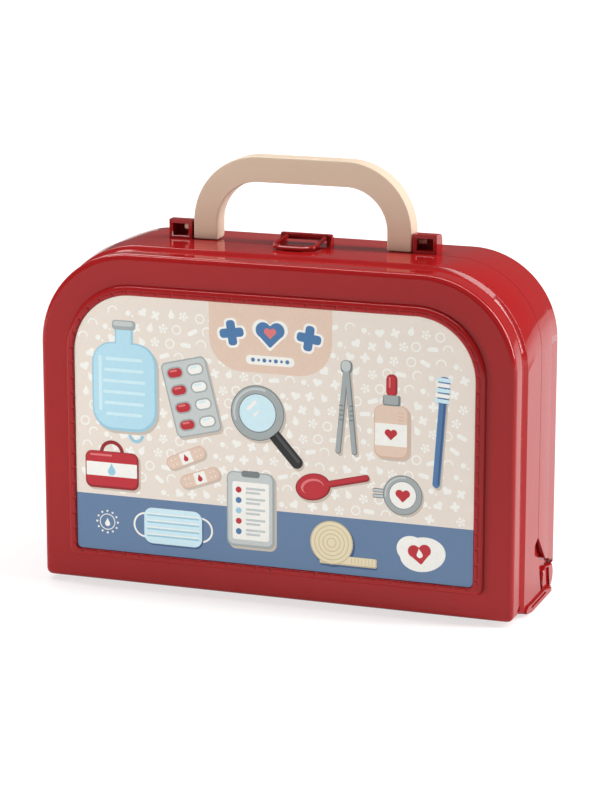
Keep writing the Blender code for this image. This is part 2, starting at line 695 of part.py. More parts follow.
def handle_outline():
    """C-shaped front outline of the handle as (x, z) points."""
    half = HANDLE_SPAN / 2
    foot = CASE_HEIGHT + SEAT_GAP
    top = CASE_HEIGHT + HANDLE_RISE
    inner = half - HANDLE_BAR
    inner_radius = HANDLE_RADIUS - HANDLE_BAR
    turn = (half - HANDLE_RADIUS, top - HANDLE_RADIUS)
    mirrored = (-turn[0], turn[1])
    outer_right = arc(turn, HANDLE_RADIUS, 0, math.pi / 2, TOP_SEGMENTS)
    outer_left = arc(mirrored, HANDLE_RADIUS, math.pi / 2, math.pi, TOP_SEGMENTS)
    inner_left = arc(mirrored, inner_radius, math.pi, math.pi / 2, TOP_SEGMENTS)
    inner_right = arc(turn, inner_radius, math.pi / 2, 0, TOP_SEGMENTS)
    points = [(half, foot)] + outer_right + outer_left + [(-half, foot)]
    return points + [(-inner, foot)] + inner_left + inner_right + [(inner, foot)]


def heel_profile():
    """What is cut off the back of the feet, so that they roll about the pins as the handle folds."""
    centre = (depth(HANDLE_DEPTH), HANDLE_PIVOT_Z)
    radius = HANDLE_THICK / 2
    rolled = arc(centre, radius, 0, -math.pi / 2, SMALL_SEGMENTS // 2)
    low = centre[1] - 2 * radius
    return rolled + [(centre[0], low), (centre[0] + 2 * radius, low), (centre[0] + 2 * radius, centre[1])]


def make_handle(material, pivot):
    front = depth(HANDLE_DEPTH) - HANDLE_THICK / 2
    outline = handle_outline()
    handle = make_object("handle", loft(((front, outline), (front + HANDLE_THICK, outline))), material, pivot)
    bevel = handle.modifiers.new("rounded_edges", "BEVEL")
    bevel.width = HANDLE_EDGE
    bevel.segments = 2
    bevel.limit_method = "ANGLE"
    bevel.angle_limit = math.radians(40)
    half = HANDLE_SPAN / 2
    add_tool(handle, twin_prisms(heel_profile(), half - 2 * HANDLE_BAR, 2 * half), "DIFFERENCE")
    pin = circle((depth(HANDLE_DEPTH), HANDLE_PIVOT_Z), PIN_RADIUS, SMALL_SEGMENTS)
    add_tool(handle, twin_prisms(pin, half - HANDLE_BAR / 2, half + PIN_LENGTH), "UNION")
    return handle


def hoop_path():
    """Centre line of the latch's legs and hook bar, from one end of the pivot bar to the other."""
    half = LATCH_WIDTH / 2 - LATCH_WIRE_RADIUS
    front_half = half + LATCH_FLARE
    rear = Vector((0, depth(LATCH_DEPTH), CASE_HEIGHT + LATCH_RISE))
    hook_z = CASE_HEIGHT + SEAT_GAP + LATCH_WIRE_RADIUS
    hook = Vector((0, depth(LATCH_DEPTH - LATCH_LENGTH), hook_z))
    back = (rear - hook).normalized()
    side = Vector((1, 0, 0))
    corner = hook + back * LATCH_CORNER
    points = [rear + side * half]
    for step in range(7):
        angle = math.pi / 2 * step / 6
        points.append(corner + side * (front_half - LATCH_CORNER + LATCH_CORNER * math.cos(angle))
                      - back * LATCH_CORNER * math.sin(angle))
    mirrored = [Vector((-p.x, p.y, p.z)) for p in reversed(points)]
    return points + mirrored, side.cross(back)


def add_tube(bm, points, up, radius, segments):
    """Round rod along a flat path; up is square to the path's plane."""
    rings = []
    for i, point in enumerate(points):
        ahead = points[min(i + 1, len(points) - 1)] - points[max(i - 1, 0)]
        across = ahead.normalized().cross(up)
        ring = []
        for step in range(segments):
            angle = math.tau * step / segments
            ring.append(bm.verts.new(point + radius * (across * math.cos(angle) + up * math.sin(angle))))
        rings.append(ring)
    skin(bm, rings)


def make_latch(material, pivot):
    centre = (depth(LATCH_DEPTH), CASE_HEIGHT + LATCH_RISE)
    half = LATCH_WIDTH / 2
    bar = prism(circle(centre, LATCH_BAR_RADIUS, SMALL_SEGMENTS), -half, half)
    latch = make_object("latch", bar, material, pivot)
    hoop = bmesh.new()
    path, up = hoop_path()
    add_tube(hoop, path, up, LATCH_WIRE_RADIUS, SMALL_SEGMENTS // 2)
    add_tool(latch, hoop, "UNION")
    pin_end = half + SLIDE_GAP + LATCH_EAR_WIDTH - LATCH_EAR_ROUND
    pins = prism(circle(centre, LATCH_PIN_RADIUS, SMALL_SEGMENTS // 2), -pin_end, pin_end)
    add_tool(latch, pins, "UNION")
    return latch


def make_card(material, pivot):
    front = depth(CARD_SINK - PLATEAU_RISE)
    outline = card_outline(0)
    return make_object("picture_card", loft(((front, outline), (front + CARD_THICKNESS, outline))),
                       material, pivot)


def main():
    clear_scene()
    red = make_material("red_plastic", RED)
    beige = make_material("beige_plastic", BEIGE)
    card = make_material("printed_card", CARD)

    front_half = make_pivot("front_half", (0, 0, 0))
    back_half = make_pivot("back_half", (0, HINGE_Y, HINGE_Z), front_half)
    handle_axis = make_pivot("handle_axis", (0, depth(HANDLE_DEPTH), HANDLE_PIVOT_Z), back_half)
    latch_axis = make_pivot("latch_axis", (0, depth(LATCH_DEPTH), CASE_HEIGHT + LATCH_RISE), back_half)

    make_front_shell(red, front_half)
    make_card(card, front_half)
    make_back_shell(red, back_half)
    make_handle(beige, handle_axis)
    make_latch(red, latch_axis)


main()
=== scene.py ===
# %% [markdown]
# # Toy doctor case: the looks
# The real object is a toy doctor's case of glossy moulded plastic: a red front half and a red back half on
# a bottom hinge, a beige carry handle, a small hoop latch, and a printed card in a raised rim on the front.
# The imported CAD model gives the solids, their places and the card's box. This file gives them smooth
# shading, a row of moulded stitches, plastic and print, a pale studio and the camera. The sizes of the
# stitches and of the print are its own, and the card's two corner radii repeat those of the CAD model.

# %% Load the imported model
import math
import random

import bmesh
import bpy
from mathutils import Matrix, Vector


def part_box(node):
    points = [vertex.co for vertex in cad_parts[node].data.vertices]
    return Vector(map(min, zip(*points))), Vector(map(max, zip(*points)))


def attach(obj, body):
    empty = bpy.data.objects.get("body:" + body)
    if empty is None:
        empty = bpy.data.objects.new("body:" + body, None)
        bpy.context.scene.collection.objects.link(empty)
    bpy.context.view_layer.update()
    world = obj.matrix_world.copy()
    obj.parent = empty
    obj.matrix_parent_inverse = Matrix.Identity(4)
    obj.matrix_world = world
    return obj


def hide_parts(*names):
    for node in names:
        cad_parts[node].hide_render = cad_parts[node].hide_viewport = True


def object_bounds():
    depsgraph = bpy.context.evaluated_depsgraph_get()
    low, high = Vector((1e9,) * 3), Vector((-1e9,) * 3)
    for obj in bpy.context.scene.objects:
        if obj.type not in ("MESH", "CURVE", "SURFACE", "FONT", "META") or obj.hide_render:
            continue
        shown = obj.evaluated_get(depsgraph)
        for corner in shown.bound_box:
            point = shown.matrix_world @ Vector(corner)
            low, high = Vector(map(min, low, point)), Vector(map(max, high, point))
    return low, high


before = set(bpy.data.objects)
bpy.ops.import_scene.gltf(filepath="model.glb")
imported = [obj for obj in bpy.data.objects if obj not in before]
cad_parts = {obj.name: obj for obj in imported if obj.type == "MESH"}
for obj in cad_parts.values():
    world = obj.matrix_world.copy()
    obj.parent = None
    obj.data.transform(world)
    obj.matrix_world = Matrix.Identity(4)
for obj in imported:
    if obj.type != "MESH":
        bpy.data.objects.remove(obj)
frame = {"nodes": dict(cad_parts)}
nodes = frame["nodes"]
cad_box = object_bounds()

# %% [markdown]
# ## Camera
# The photograph looks at the case from its right and a little from above, through a long lens, so that
# upright edges stay nearly parallel. The camera's place was solved from points that the photograph and the
# model share.

# %% Camera
LOOKING_DOWN = 13.605
TURNED_LEFT = 19.564
camera = bpy.data.objects.new("camera", bpy.data.cameras.new("camera"))
bpy.context.scene.collection.objects.link(camera)
bpy.context.scene.camera = camera
camera.location = (0.6369, -1.7861, 0.5876)
camera.rotation_euler = (math.radians(90 - LOOKING_DOWN), 0, math.radians(TURNED_LEFT))
camera.data.lens = 129.8
camera.data.sensor_width = 36
bpy.context.scene.view_settings.view_transform = "Standard"
print("camera", round(camera.location.length, 3), "m from the case's foot")

# %% [markdown]
# ## Floor and light
# The photograph is a bright studio picture: a white floor that runs out of sight, a soft shadow, and thin
# long highlights on the rounds. Two lamps shaped like strips, one overhead and one at the right, make such
# highlights, and two small soft lamps fill in from the front and from behind. The floor is a real plane that
# bounces light on to the case. Where the camera or a mirror-like surface looks at it, part of its white is
# its own glow, so that it stays white far from the lamps and still takes the shadow. The world is white only
# where the camera looks straight at it. The low front lamp only fills the shadows: the plastic doesn't mirror
# it, because seen from behind at a flat angle its image would blow out a corner to the white of the
# background. That is a studio trick: a real lamp would show there.

# %% Materials with a shader
def make_material(name, colour, roughness):
    """A node material with a Principled shader; returns it with its nodes, links and shader."""
    material = bpy.data.materials.new(name)
    material.use_nodes = True
    shader = material.node_tree.nodes["Principled BSDF"]
    shader.inputs["Base Color"].default_value = (*colour, 1.0)
    shader.inputs["Roughness"].default_value = roughness
    return material, material.node_tree.nodes, material.node_tree.links, shader


# %% Floor
FLOOR_HALF_SIZE = 40.0
floor_mesh = bmesh.new()
bmesh.ops.create_grid(floor_mesh, x_segments=1, y_segments=1, size=FLOOR_HALF_SIZE)
floor_data = bpy.data.meshes.new("studio_floor")
floor_mesh.to_mesh(floor_data)
floor_mesh.free()
studio_floor = bpy.data.objects.new("studio_floor", floor_data)
bpy.context.scene.collection.objects.link(studio_floor)
print("floor", [round(v) for v in studio_floor.dimensions[:2]], "m")

# %% White of the floor
GLOW_FROM, GLOW_TO = 0.4, 2.0
GLOW_NEAR, GLOW_FAR = 0.68, 0.98
GLOW_MIRRORED = 0.61
floor_white, floor_nodes, floor_links, floor_shader = make_material("floor_white", (0.88, 0.88, 0.875), 0.8)
seen = floor_nodes.new("ShaderNodeLightPath")
looked_at = floor_nodes.new("ShaderNodeMath")
looked_at.operation = "MAXIMUM"
floor_links.new(seen.outputs["Is Camera Ray"], looked_at.inputs[0])
floor_links.new(seen.outputs["Is Glossy Ray"], looked_at.inputs[1])
matt = floor_nodes.new("ShaderNodeBsdfDiffuse")
matt.inputs["Color"].default_value = (0.40, 0.40, 0.40, 1)
floor_place = floor_nodes.new("ShaderNodeTexCoord")
from_case = floor_nodes.new("ShaderNodeVectorMath")
from_case.operation = "LENGTH"
floor_links.new(floor_place.outputs["Object"], from_case.inputs[0])
far_glow = floor_nodes.new("ShaderNodeMapRange")
far_glow.inputs["From Min"].default_value = GLOW_FROM
far_glow.inputs["From Max"].default_value = GLOW_TO
far_glow.inputs["To Min"].default_value = GLOW_NEAR
far_glow.inputs["To Max"].default_value = GLOW_FAR
floor_links.new(from_case.outputs["Value"], far_glow.inputs["Value"])
mirrored = floor_nodes.new("ShaderNodeMapRange")
mirrored.inputs["To Min"].default_value = 1.0
mirrored.inputs["To Max"].default_value = GLOW_MIRRORED
floor_links.new(seen.outputs["Is Glossy Ray"], mirrored.inputs["Value"])
strength = floor_nodes.new("ShaderNodeMath")
strength.operation = "MULTIPLY"
floor_links.new(far_glow.outputs["Result"], strength.inputs[0])
floor_links.new(mirrored.outputs["Result"], strength.inputs[1])
glow = floor_nodes.new("ShaderNodeEmission")
glow.inputs["Color"].default_value = (1.0, 0.985, 0.975, 1)
floor_links.new(strength.outputs["Value"], glow.inputs["Strength"])
both = floor_nodes.new("ShaderNodeAddShader")
floor_links.new(matt.outputs["BSDF"], both.inputs[0])
floor_links.new(glow.outputs["Emission"], both.inputs[1])
pick = floor_nodes.new("ShaderNodeMixShader")
floor_links.new(looked_at.outputs["Value"], pick.inputs["Fac"])
floor_links.new(floor_shader.outputs["BSDF"], pick.inputs[1])
floor_links.new(both.outputs["Shader"], pick.inputs[2])
floor_links.new(pick.outputs["Shader"], floor_nodes["Material Output"].inputs["Surface"])
floor_data.materials.append(floor_white)
print("glow", GLOW_NEAR, "at", GLOW_FROM, "m to", GLOW_FAR, "at", GLOW_TO, "m, mirrored times", GLOW_MIRRORED)

# %% World
world = bpy.data.worlds.new("studio")
bpy.context.scene.world = world
world.use_nodes = True
tree = world.node_tree
room = tree.nodes["Background"]
room.inputs["Color"].default_value = (1.0, 0.99, 0.98, 1)
room.inputs["Strength"].default_value = 0.15
backdrop = tree.nodes.new("ShaderNodeBackground")
backdrop.inputs["Color"].default_value = (1, 1, 1, 1)
backdrop.inputs["Strength"].default_value = 1.0
rays = tree.nodes.new("ShaderNodeLightPath")
choose = tree.nodes.new("ShaderNodeMixShader")
tree.links.new(rays.outputs["Is Camera Ray"], choose.inputs["Fac"])
tree.links.new(room.outputs["Background"], choose.inputs[1])
tree.links.new(backdrop.outputs["Background"], choose.inputs[2])
tree.links.new(choose.outputs["Shader"], tree.nodes["World Output"].inputs["Surface"])
print("room strength", room.inputs["Strength"].default_value)


# %% Lamps
def add_lamp(name, place, size, power, mirrored=True):
    """A soft lamp that faces the middle of the case; glossy plastic mirrors it, or only takes its light."""
    lamp = bpy.data.objects.new(name, bpy.data.lights.new(name, "AREA"))
    lamp.data.shape = "RECTANGLE"
    lamp.data.size, lamp.data.size_y = size
    lamp.data.energy = power
    lamp.visible_glossy = mirrored
    lamp.location = place
    lamp.rotation_euler = (middle - Vector(place)).to_track_quat("-Z", "Y").to_euler()
    bpy.context.scene.collection.objects.link(lamp)


middle = (cad_box[0] + cad_box[1]) / 2
add_lamp("overhead_strip", (0.0, 0.08, 2.2), (3.4, 0.45), 44)
add_lamp("right_strip", (2.3, 0.6, 1.3), (0.6, 2.2), 68)
add_lamp("front_softbox", (-1.3, -1.15, 0.18), (0.8, 0.3), 16, mirrored=False)
add_lamp("back_softbox", (-1.6, 1.9, 2.0), (1.2, 1.2), 24)
print("lamps aim at", [round(v, 3) for v in middle])

# %% [markdown]
# ## Red plastic
# The shells are injection-moulded and glossy. Moulded plastic is never quite flat: it sinks a little over
# its ribs, which makes mirrored edges wavy, and it has a faint orange-peel skin. Both are bumps here, one
# wide and one fine. The colour and the roughness drift slightly, so that no large face looks like flat
# paint.

# %% Moulded plastic
def add_noise(nodes, links, scale, detail=2.0):
    """Noise on the piece's own coordinates, which are metres in the model's frame."""
    place = nodes.new("ShaderNodeTexCoord")
    noise = nodes.new("ShaderNodeTexNoise")
    noise.inputs["Scale"].default_value = scale
    noise.inputs["Detail"].default_value = detail
    links.new(place.outputs["Object"], noise.inputs["Vector"])
    return noise


def add_range(nodes, links, value, low, high):
    """Noise, which is mostly between 0.3 and 0.7, to a range of values."""
    spread = nodes.new("ShaderNodeMapRange")
    spread.inputs["From Min"].default_value = 0.3
    spread.inputs["From Max"].default_value = 0.7
    spread.inputs["To Min"].default_value = low
    spread.inputs["To Max"].default_value = high
    links.new(value, spread.inputs["Value"])
    return spread.outputs["Result"]


def add_mix(nodes, links, share, first, second):
    """A colour between two colours."""
    mix = nodes.new("ShaderNodeMix")
    mix.data_type = "RGBA"
    links.new(share, mix.inputs["Factor"])
    mix.inputs["A"].default_value = (*first, 1)
    mix.inputs["B"].default_value = (*second, 1)
    return mix.outputs["Result"]


def moulded_plastic(name, colours, roughness, waviness, peel):
    """Moulded plastic with a drift in colour and gloss, wide waves and a fine skin."""
    material, nodes, links, shader = make_material(name, colours[0], roughness[0])
    drift = add_noise(nodes, links, 9.0)
    links.new(add_mix(nodes, links, add_range(nodes, links, drift.outputs["Fac"], 0, 1), *colours),
              shader.inputs["Base Color"])
    handling = add_noise(nodes, links, 60.0, 5.0)
    links.new(add_range(nodes, links, handling.outputs["Fac"], *roughness), shader.inputs["Roughness"])
    wide = nodes.new("ShaderNodeBump")
    wide.inputs["Distance"].default_value = waviness
    links.new(add_noise(nodes, links, 22.0, 1.0).outputs["Fac"], wide.inputs["Height"])
    fine = nodes.new("ShaderNodeBump")
    fine.inputs["Distance"].default_value = peel
    links.new(add_noise(nodes, links, 900.0, 2.0).outputs["Fac"], fine.inputs["Height"])
    links.new(wide.outputs["Normal"], fine.inputs["Normal"])
    links.new(fine.outputs["Normal"], shader.inputs["Normal"])
    shader.inputs["IOR"].default_value = 1.4
    return material


red_plastic = moulded_plastic("red_plastic", ((0.335, 0.009, 0.010), (0.365, 0.011, 0.012)),
                              (0.06, 0.10), 0.00025, 0.000002)
beige_plastic = moulded_plastic("beige_plastic", ((0.69, 0.54, 0.405), (0.73, 0.575, 0.435)),
                                (0.36, 0.46), 0.0001, 0.000012)

# %% [markdown]
# ## Shells, handle and latch
# The CAD solids have the right form, but their triangles are loose, so light would break over every facet.
# A copy of each is welded, its flat areas are joined again, edges sharper than 30 degrees stay sharp, and
# the normals are weighted by area, so that flat faces stay flat and rounds look round. The rounds
# themselves are the CAD model's: nothing is bevelled here.

# %% Finished copies of the CAD solids
WELD_DISTANCE = 0.000002
FLAT_ANGLE = math.radians(0.3)
SHARP_ANGLE = math.radians(30)


def finished_copy(node, name, material, body):
    """A welded copy of a CAD node with smooth shading, which stands for the node."""
    bm = bmesh.new()
    bm.from_mesh(nodes[node].data)
    bmesh.ops.remove_doubles(bm, verts=bm.verts, dist=WELD_DISTANCE)
    bmesh.ops.dissolve_limit(bm, angle_limit=FLAT_ANGLE, verts=bm.verts[:], edges=bm.edges[:])
    mesh = bpy.data.meshes.new(name)
    bm.to_mesh(mesh)
    bm.free()
    mesh.materials.clear()
    mesh.materials.append(material)
    mesh.shade_smooth()
    mesh.set_sharp_from_angle(angle=SHARP_ANGLE)
    piece = bpy.data.objects.new(name, mesh)
    bpy.context.scene.collection.objects.link(piece)
    weigh = piece.modifiers.new("flat_faces_first", "WEIGHTED_NORMAL")
    weigh.keep_sharp = True
    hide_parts(node)
    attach(piece, body)
    print(name, len(mesh.vertices), "vertices from", node)


finished_copy("front_shell", "front_case", red_plastic, "front_half")
finished_copy("back_shell", "back_case", red_plastic, "back_half")
finished_copy("handle", "carry_handle", beige_plastic, "handle")
finished_copy("latch", "hoop_latch", red_plastic, "latch")

# %% [markdown]
# ## Stitches on the rim
# A row of moulded dashes runs round the card, like the seam of a leather case. One dash is modelled flat: a
# grid with its corners bevelled, extruded and inset for a soft shoulder. It is then laid along the card's
# outline again and again, and bends with the corners because every vertex is placed by its distance along
# it.

# %% Line round the card
card_low, card_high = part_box("picture_card")
CARD_TOP_RADIUS = 0.0412
CARD_FOOT_RADIUS = 0.003
STITCH_OFFSET = 0.0021
CORNER_STEPS = 24
SHORTEST = 1e-12


def card_line(offset):
    """Points and outward directions on the card's outline, moved outwards, and the lengths up to them."""
    corners = ((card_high.x - CARD_FOOT_RADIUS, card_low.z + CARD_FOOT_RADIUS, CARD_FOOT_RADIUS, -90),
               (card_high.x - CARD_TOP_RADIUS, card_high.z - CARD_TOP_RADIUS, CARD_TOP_RADIUS, 0),
               (card_low.x + CARD_TOP_RADIUS, card_high.z - CARD_TOP_RADIUS, CARD_TOP_RADIUS, 90),
               (card_low.x + CARD_FOOT_RADIUS, card_low.z + CARD_FOOT_RADIUS, CARD_FOOT_RADIUS, 180))
    points = []
    for x, z, radius, start in corners:
        for step in range(CORNER_STEPS + 1):
            angle = math.radians(start + 90 * step / CORNER_STEPS)
            out = Vector((math.cos(angle), math.sin(angle)))
            points.append((Vector((x, z)) + (radius + offset) * out, out))
    points.append(points[0])
    lengths = [0.0]
    for (here, _), (there, _) in zip(points, points[1:]):
        lengths.append(lengths[-1] + (there - here).length)
    return points, lengths


def on_line(line, distance):
    """Point and outward direction at a distance along the line, which is closed."""
    points, lengths = line
    distance = distance % lengths[-1]
    for i in range(len(lengths) - 1):
        if distance <= lengths[i + 1]:
            share = (distance - lengths[i]) / max(lengths[i + 1] - lengths[i], SHORTEST)
            place = points[i][0].lerp(points[i + 1][0], share)
            return place, points[i][1].lerp(points[i + 1][1], share).normalized()


stitch_line = card_line(STITCH_OFFSET)
print("stitch line", round(stitch_line[1][-1] * 1000), "mm long")

# %% One dash
DASH_LENGTH, DASH_WIDTH, DASH_RISE, DASH_PITCH = 0.0088, 0.0021, 0.0005, 0.0105
DASH_CORNER, SHOULDER_WIDTH, SHOULDER_RISE = 0.0006, 0.0003, 0.0001
dash = bmesh.new()
bmesh.ops.create_grid(dash, x_segments=4, y_segments=1, size=0.5)
bmesh.ops.scale(dash, vec=(DASH_LENGTH, DASH_WIDTH, 1), verts=dash.verts)
corner_verts = [v for v in dash.verts if len(v.link_edges) == 2]
bmesh.ops.bevel(dash, geom=corner_verts, offset=DASH_CORNER, segments=3, profile=0.5, affect="VERTICES",
                material=-1)
raised = bmesh.ops.extrude_face_region(dash, geom=dash.faces[:])
raised_verts = [v for v in raised["geom"] if isinstance(v, bmesh.types.BMVert)]
bmesh.ops.translate(dash, vec=(0, 0, DASH_RISE), verts=raised_verts)
top_faces = [f for f in raised["geom"] if isinstance(f, bmesh.types.BMFace)]
bmesh.ops.inset_region(dash, faces=top_faces, thickness=SHOULDER_WIDTH, depth=0)
for vert in {v for f in top_faces for v in f.verts}:
    vert.co.z += SHOULDER_RISE
dash_mesh = bpy.data.meshes.new("dash")
dash.to_mesh(dash_mesh)
print("one dash:", len(dash_mesh.vertices), "vertices")
dash.free()

# %% All dashes along the line
stitch_count = round(stitch_line[1][-1] / DASH_PITCH)
stitch_pitch = stitch_line[1][-1] / stitch_count
rim_top = cad_box[0].y
row = bmesh.new()
for number in range(stitch_count):
    before = len(row.verts)
    row.from_mesh(dash_mesh)
    row.verts.ensure_lookup_table()
    for vert in row.verts[before:]:
        along, across, rise = vert.co
        place, out = on_line(stitch_line, (number + 0.5) * stitch_pitch + along)
        place = place + out * across
        vert.co = (place.x, rim_top - rise, place.y)
bmesh.ops.recalc_face_normals(row, faces=row.faces)


def add_piece(name, bm, material, body, flat=False):
    """A new piece in the model's frame, flat shaded or smooth between its sharp edges."""
    mesh = bpy.data.meshes.new(name)
    bm.to_mesh(mesh)
    bm.free()
    mesh.materials.append(material)
    if flat:
        mesh.shade_flat()
    else:
        mesh.shade_smooth()
        mesh.set_sharp_from_angle(angle=SHARP_ANGLE)
    piece = bpy.data.objects.new(name, mesh)
    bpy.context.scene.collection.objects.link(piece)
    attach(piece, body)
    return piece


add_piece("rim_stitches", row, red_plastic, "front_half")
print(stitch_count, "dashes,", round(stitch_pitch * 1000, 2), "mm apart")

# %% [markdown]
# ## Card
# The card is smooth coated paper behind the rim: a cream ground over a blue band, covered in small white
# marks and bigger pictures of care things. The ground is a material on the CAD card. Every printed shape is a
# flat plate of one ink, let into the card, whose face stands two hundredths of a millimetre further out for
# each level, so its edge stays sharp from any distance. The pictures are this file's own plain designs, in
# the colours and at the scale that such a card has.

# %% Ground of the card
BAND_TOP = 0.0651
PAPER_ROUGHNESS = 0.40
PAPER_COLOUR = (0.82, 0.73, 0.65)
paper, paper_nodes, paper_links, paper_shader = make_material("card_print", PAPER_COLOUR, PAPER_ROUGHNESS)
place = paper_nodes.new("ShaderNodeTexCoord")
axes = paper_nodes.new("ShaderNodeSeparateXYZ")
paper_links.new(place.outputs["Object"], axes.inputs["Vector"])
in_band = paper_nodes.new("ShaderNodeMath")
in_band.operation = "LESS_THAN"
in_band.inputs[1].default_value = BAND_TOP
paper_links.new(axes.outputs["Z"], in_band.inputs[0])
fibres = add_noise(paper_nodes, paper_links, 500.0, 4.0)
cream = add_mix(paper_nodes, paper_links, fibres.outputs["Fac"], (0.80, 0.71, 0.625), (0.84, 0.755, 0.675))
blue = add_mix(paper_nodes, paper_links, fibres.outputs["Fac"], (0.118, 0.205, 0.350), (0.132, 0.222, 0.372))
ground = paper_nodes.new("ShaderNodeMix")
ground.data_type = "RGBA"
paper_links.new(in_band.outputs["Value"], ground.inputs["Factor"])
paper_links.new(cream, ground.inputs["A"])
paper_links.new(blue, ground.inputs["B"])
paper_links.new(ground.outputs["Result"], paper_shader.inputs["Base Color"])
nodes["picture_card"].data.materials[0] = paper
print("card", [round(v * 1000, 1) for v in card_high - card_low], "mm")

# %% Inks
INK_COLOURS = {
    "white": (0.93, 0.91, 0.86), "shadow": (0.60, 0.52, 0.44), "blue": (0.070, 0.190, 0.400),
    "dark_blue": (0.045, 0.095, 0.215), "sky": (0.47, 0.74, 0.86), "pale_sky": (0.64, 0.85, 0.93),
    "deep_sky": (0.33, 0.60, 0.74), "grey": (0.37, 0.41, 0.41), "pale_grey": (0.57, 0.61, 0.60),
    "dark_grey": (0.19, 0.215, 0.22), "red": (0.52, 0.018, 0.030), "deep_red": (0.30, 0.010, 0.016),
    "pale_red": (0.74, 0.19, 0.19), "peach": (0.78, 0.59, 0.47), "deep_peach": (0.70, 0.46, 0.35),
    "black": (0.018, 0.018, 0.020), "soft_black": (0.07, 0.07, 0.075), "linen": (0.83, 0.73, 0.50),
    "deep_linen": (0.64, 0.53, 0.33),
}
INK_STEP = 0.00002
INK_DEPTH = 0.0002
WIDEST_ROUND = 0.499
RING_STEP_DEGREES = 10
ink_sheets = {}


def on_card(x, z, level, turn=0.0, stretch=(1.0, 1.0)):
    """Matrix that stands a flat shape up on the card; x and z in millimetres, turn in degrees to the left."""
    stand = Matrix.Rotation(math.radians(90), 4, "X")
    turned = Matrix.Rotation(math.radians(-turn), 4, "Y")
    scale = Matrix.Diagonal((stretch[0], stretch[1], 1, 1))
    return Matrix.Translation((x / 1000, card_low.y - level * INK_STEP, z / 1000)) @ turned @ stand @ scale


def sheet_of(ink):
    """The mesh that collects all the shapes of one ink."""
    return ink_sheets.setdefault(ink, bmesh.new())


def disc(ink, x, z, radius, level, stretch=(1.0, 1.0), turn=0.0, steps=32):
    """A filled circle or, with a stretch, an ellipse."""
    made = bmesh.ops.create_circle(sheet_of(ink), cap_ends=True, segments=steps, radius=radius / 1000,
                                   matrix=on_card(x, z, level, turn, stretch))
    return made["verts"]


def bar(ink, x, z, width, height, radius, level, turn=0.0, corners=(True, True, True, True)):
    """A rectangle; corners says which are round: lower left, lower right, upper left, upper right."""
    bm = sheet_of(ink)
    matrix = on_card(x, z, level, turn, (width / 1000, height / 1000))
    made = bmesh.ops.create_grid(bm, x_segments=1, y_segments=1, size=0.5, matrix=matrix)["verts"]
    rounded = [v for v, chosen in zip(made, corners) if chosen]
    radius = min(radius, WIDEST_ROUND * width, WIDEST_ROUND * height)
    if radius > 0 and rounded:
        bmesh.ops.bevel(bm, geom=rounded, offset=radius / 1000, offset_type="OFFSET", segments=6, profile=0.5,
                        affect="VERTICES", material=-1)


def ring(ink, x, z, radius, width, level, start=0.0, end=360.0):
    """A round line, or a part of it; angles in degrees from the right, to the left."""
    bm = sheet_of(ink)
    full = abs(end - start) > 359.9
    place = on_card(x, z, level, start)
    ends = [bm.verts.new(place @ Vector(((radius + side * width / 2) / 1000, 0, 0))) for side in (-1, 1)]
    edge = bm.edges.new(ends)
    steps = max(6, round(abs(end - start) / RING_STEP_DEGREES))
    centre = on_card(x, z, level).translation
    bmesh.ops.spin(bm, geom=ends + [edge], cent=centre, axis=(0, -1, 0), dvec=(0, 0, 0),
                   angle=math.radians(end - start), steps=steps, use_merge=full)


def drop(ink, x, z, radius, level, turn=0.0, reach=2.2):
    """A drop: a circle whose upper half is drawn out nearly to a point."""
    verts = disc(ink, 0, 0, radius, 0)
    stand = on_card(x, z, level, turn) @ on_card(0, 0, 0).inverted()
    for vert in verts:
        rise = max((vert.co.z * 1000) / radius, 0)
        vert.co.x *= 1 - rise ** 2 * 0.96
        vert.co.z += (reach - 1) * radius / 1000 * rise ** 2
        vert.co = stand @ vert.co


def plus(ink, x, z, size, thick, level, turn=0.0, radius=None):
    """A rounded plus sign of two bars."""
    radius = 0.3 * thick if radius is None else radius
    bar(ink, x, z, size, thick, radius, level, turn)
    bar(ink, x, z, size, thick, radius, level + 0.2, turn + 90)


def heart(ink, x, z, size, level, turn=0.0):
    """A heart of a square on its corner and two discs."""
    around = Matrix.Rotation(math.radians(turn), 2)
    half = size / 2
    for dx, step in ((-1, 0.2), (1, 0.4)):
        centre = Vector((x, z)) + around @ Vector((dx * half * 0.5, half * 0.25))
        disc(ink, centre.x, centre.y, half * 0.56, level + step)
    middle = Vector((x, z)) + around @ Vector((0, -half * 0.18))
    bar(ink, middle.x, middle.y, half * 1.16, half * 1.16, half * 0.12, level, turn + 45)


# %% Small white marks on the cream
def on_cream(x, z, margin):
    """True where a mark of this reach lies on the cream and inside the card's outline."""
    half, top = card_high.x * 1000, card_high.z * 1000
    radius = CARD_TOP_RADIUS * 1000
    if abs(x) > half - margin or z > top - margin or z < BAND_TOP * 1000 + margin:
        return False
    dx, dz = abs(x) - (half - radius), z - (top - radius)
    return not (dx > 0 and dz > 0) or math.hypot(dx, dz) < radius - margin


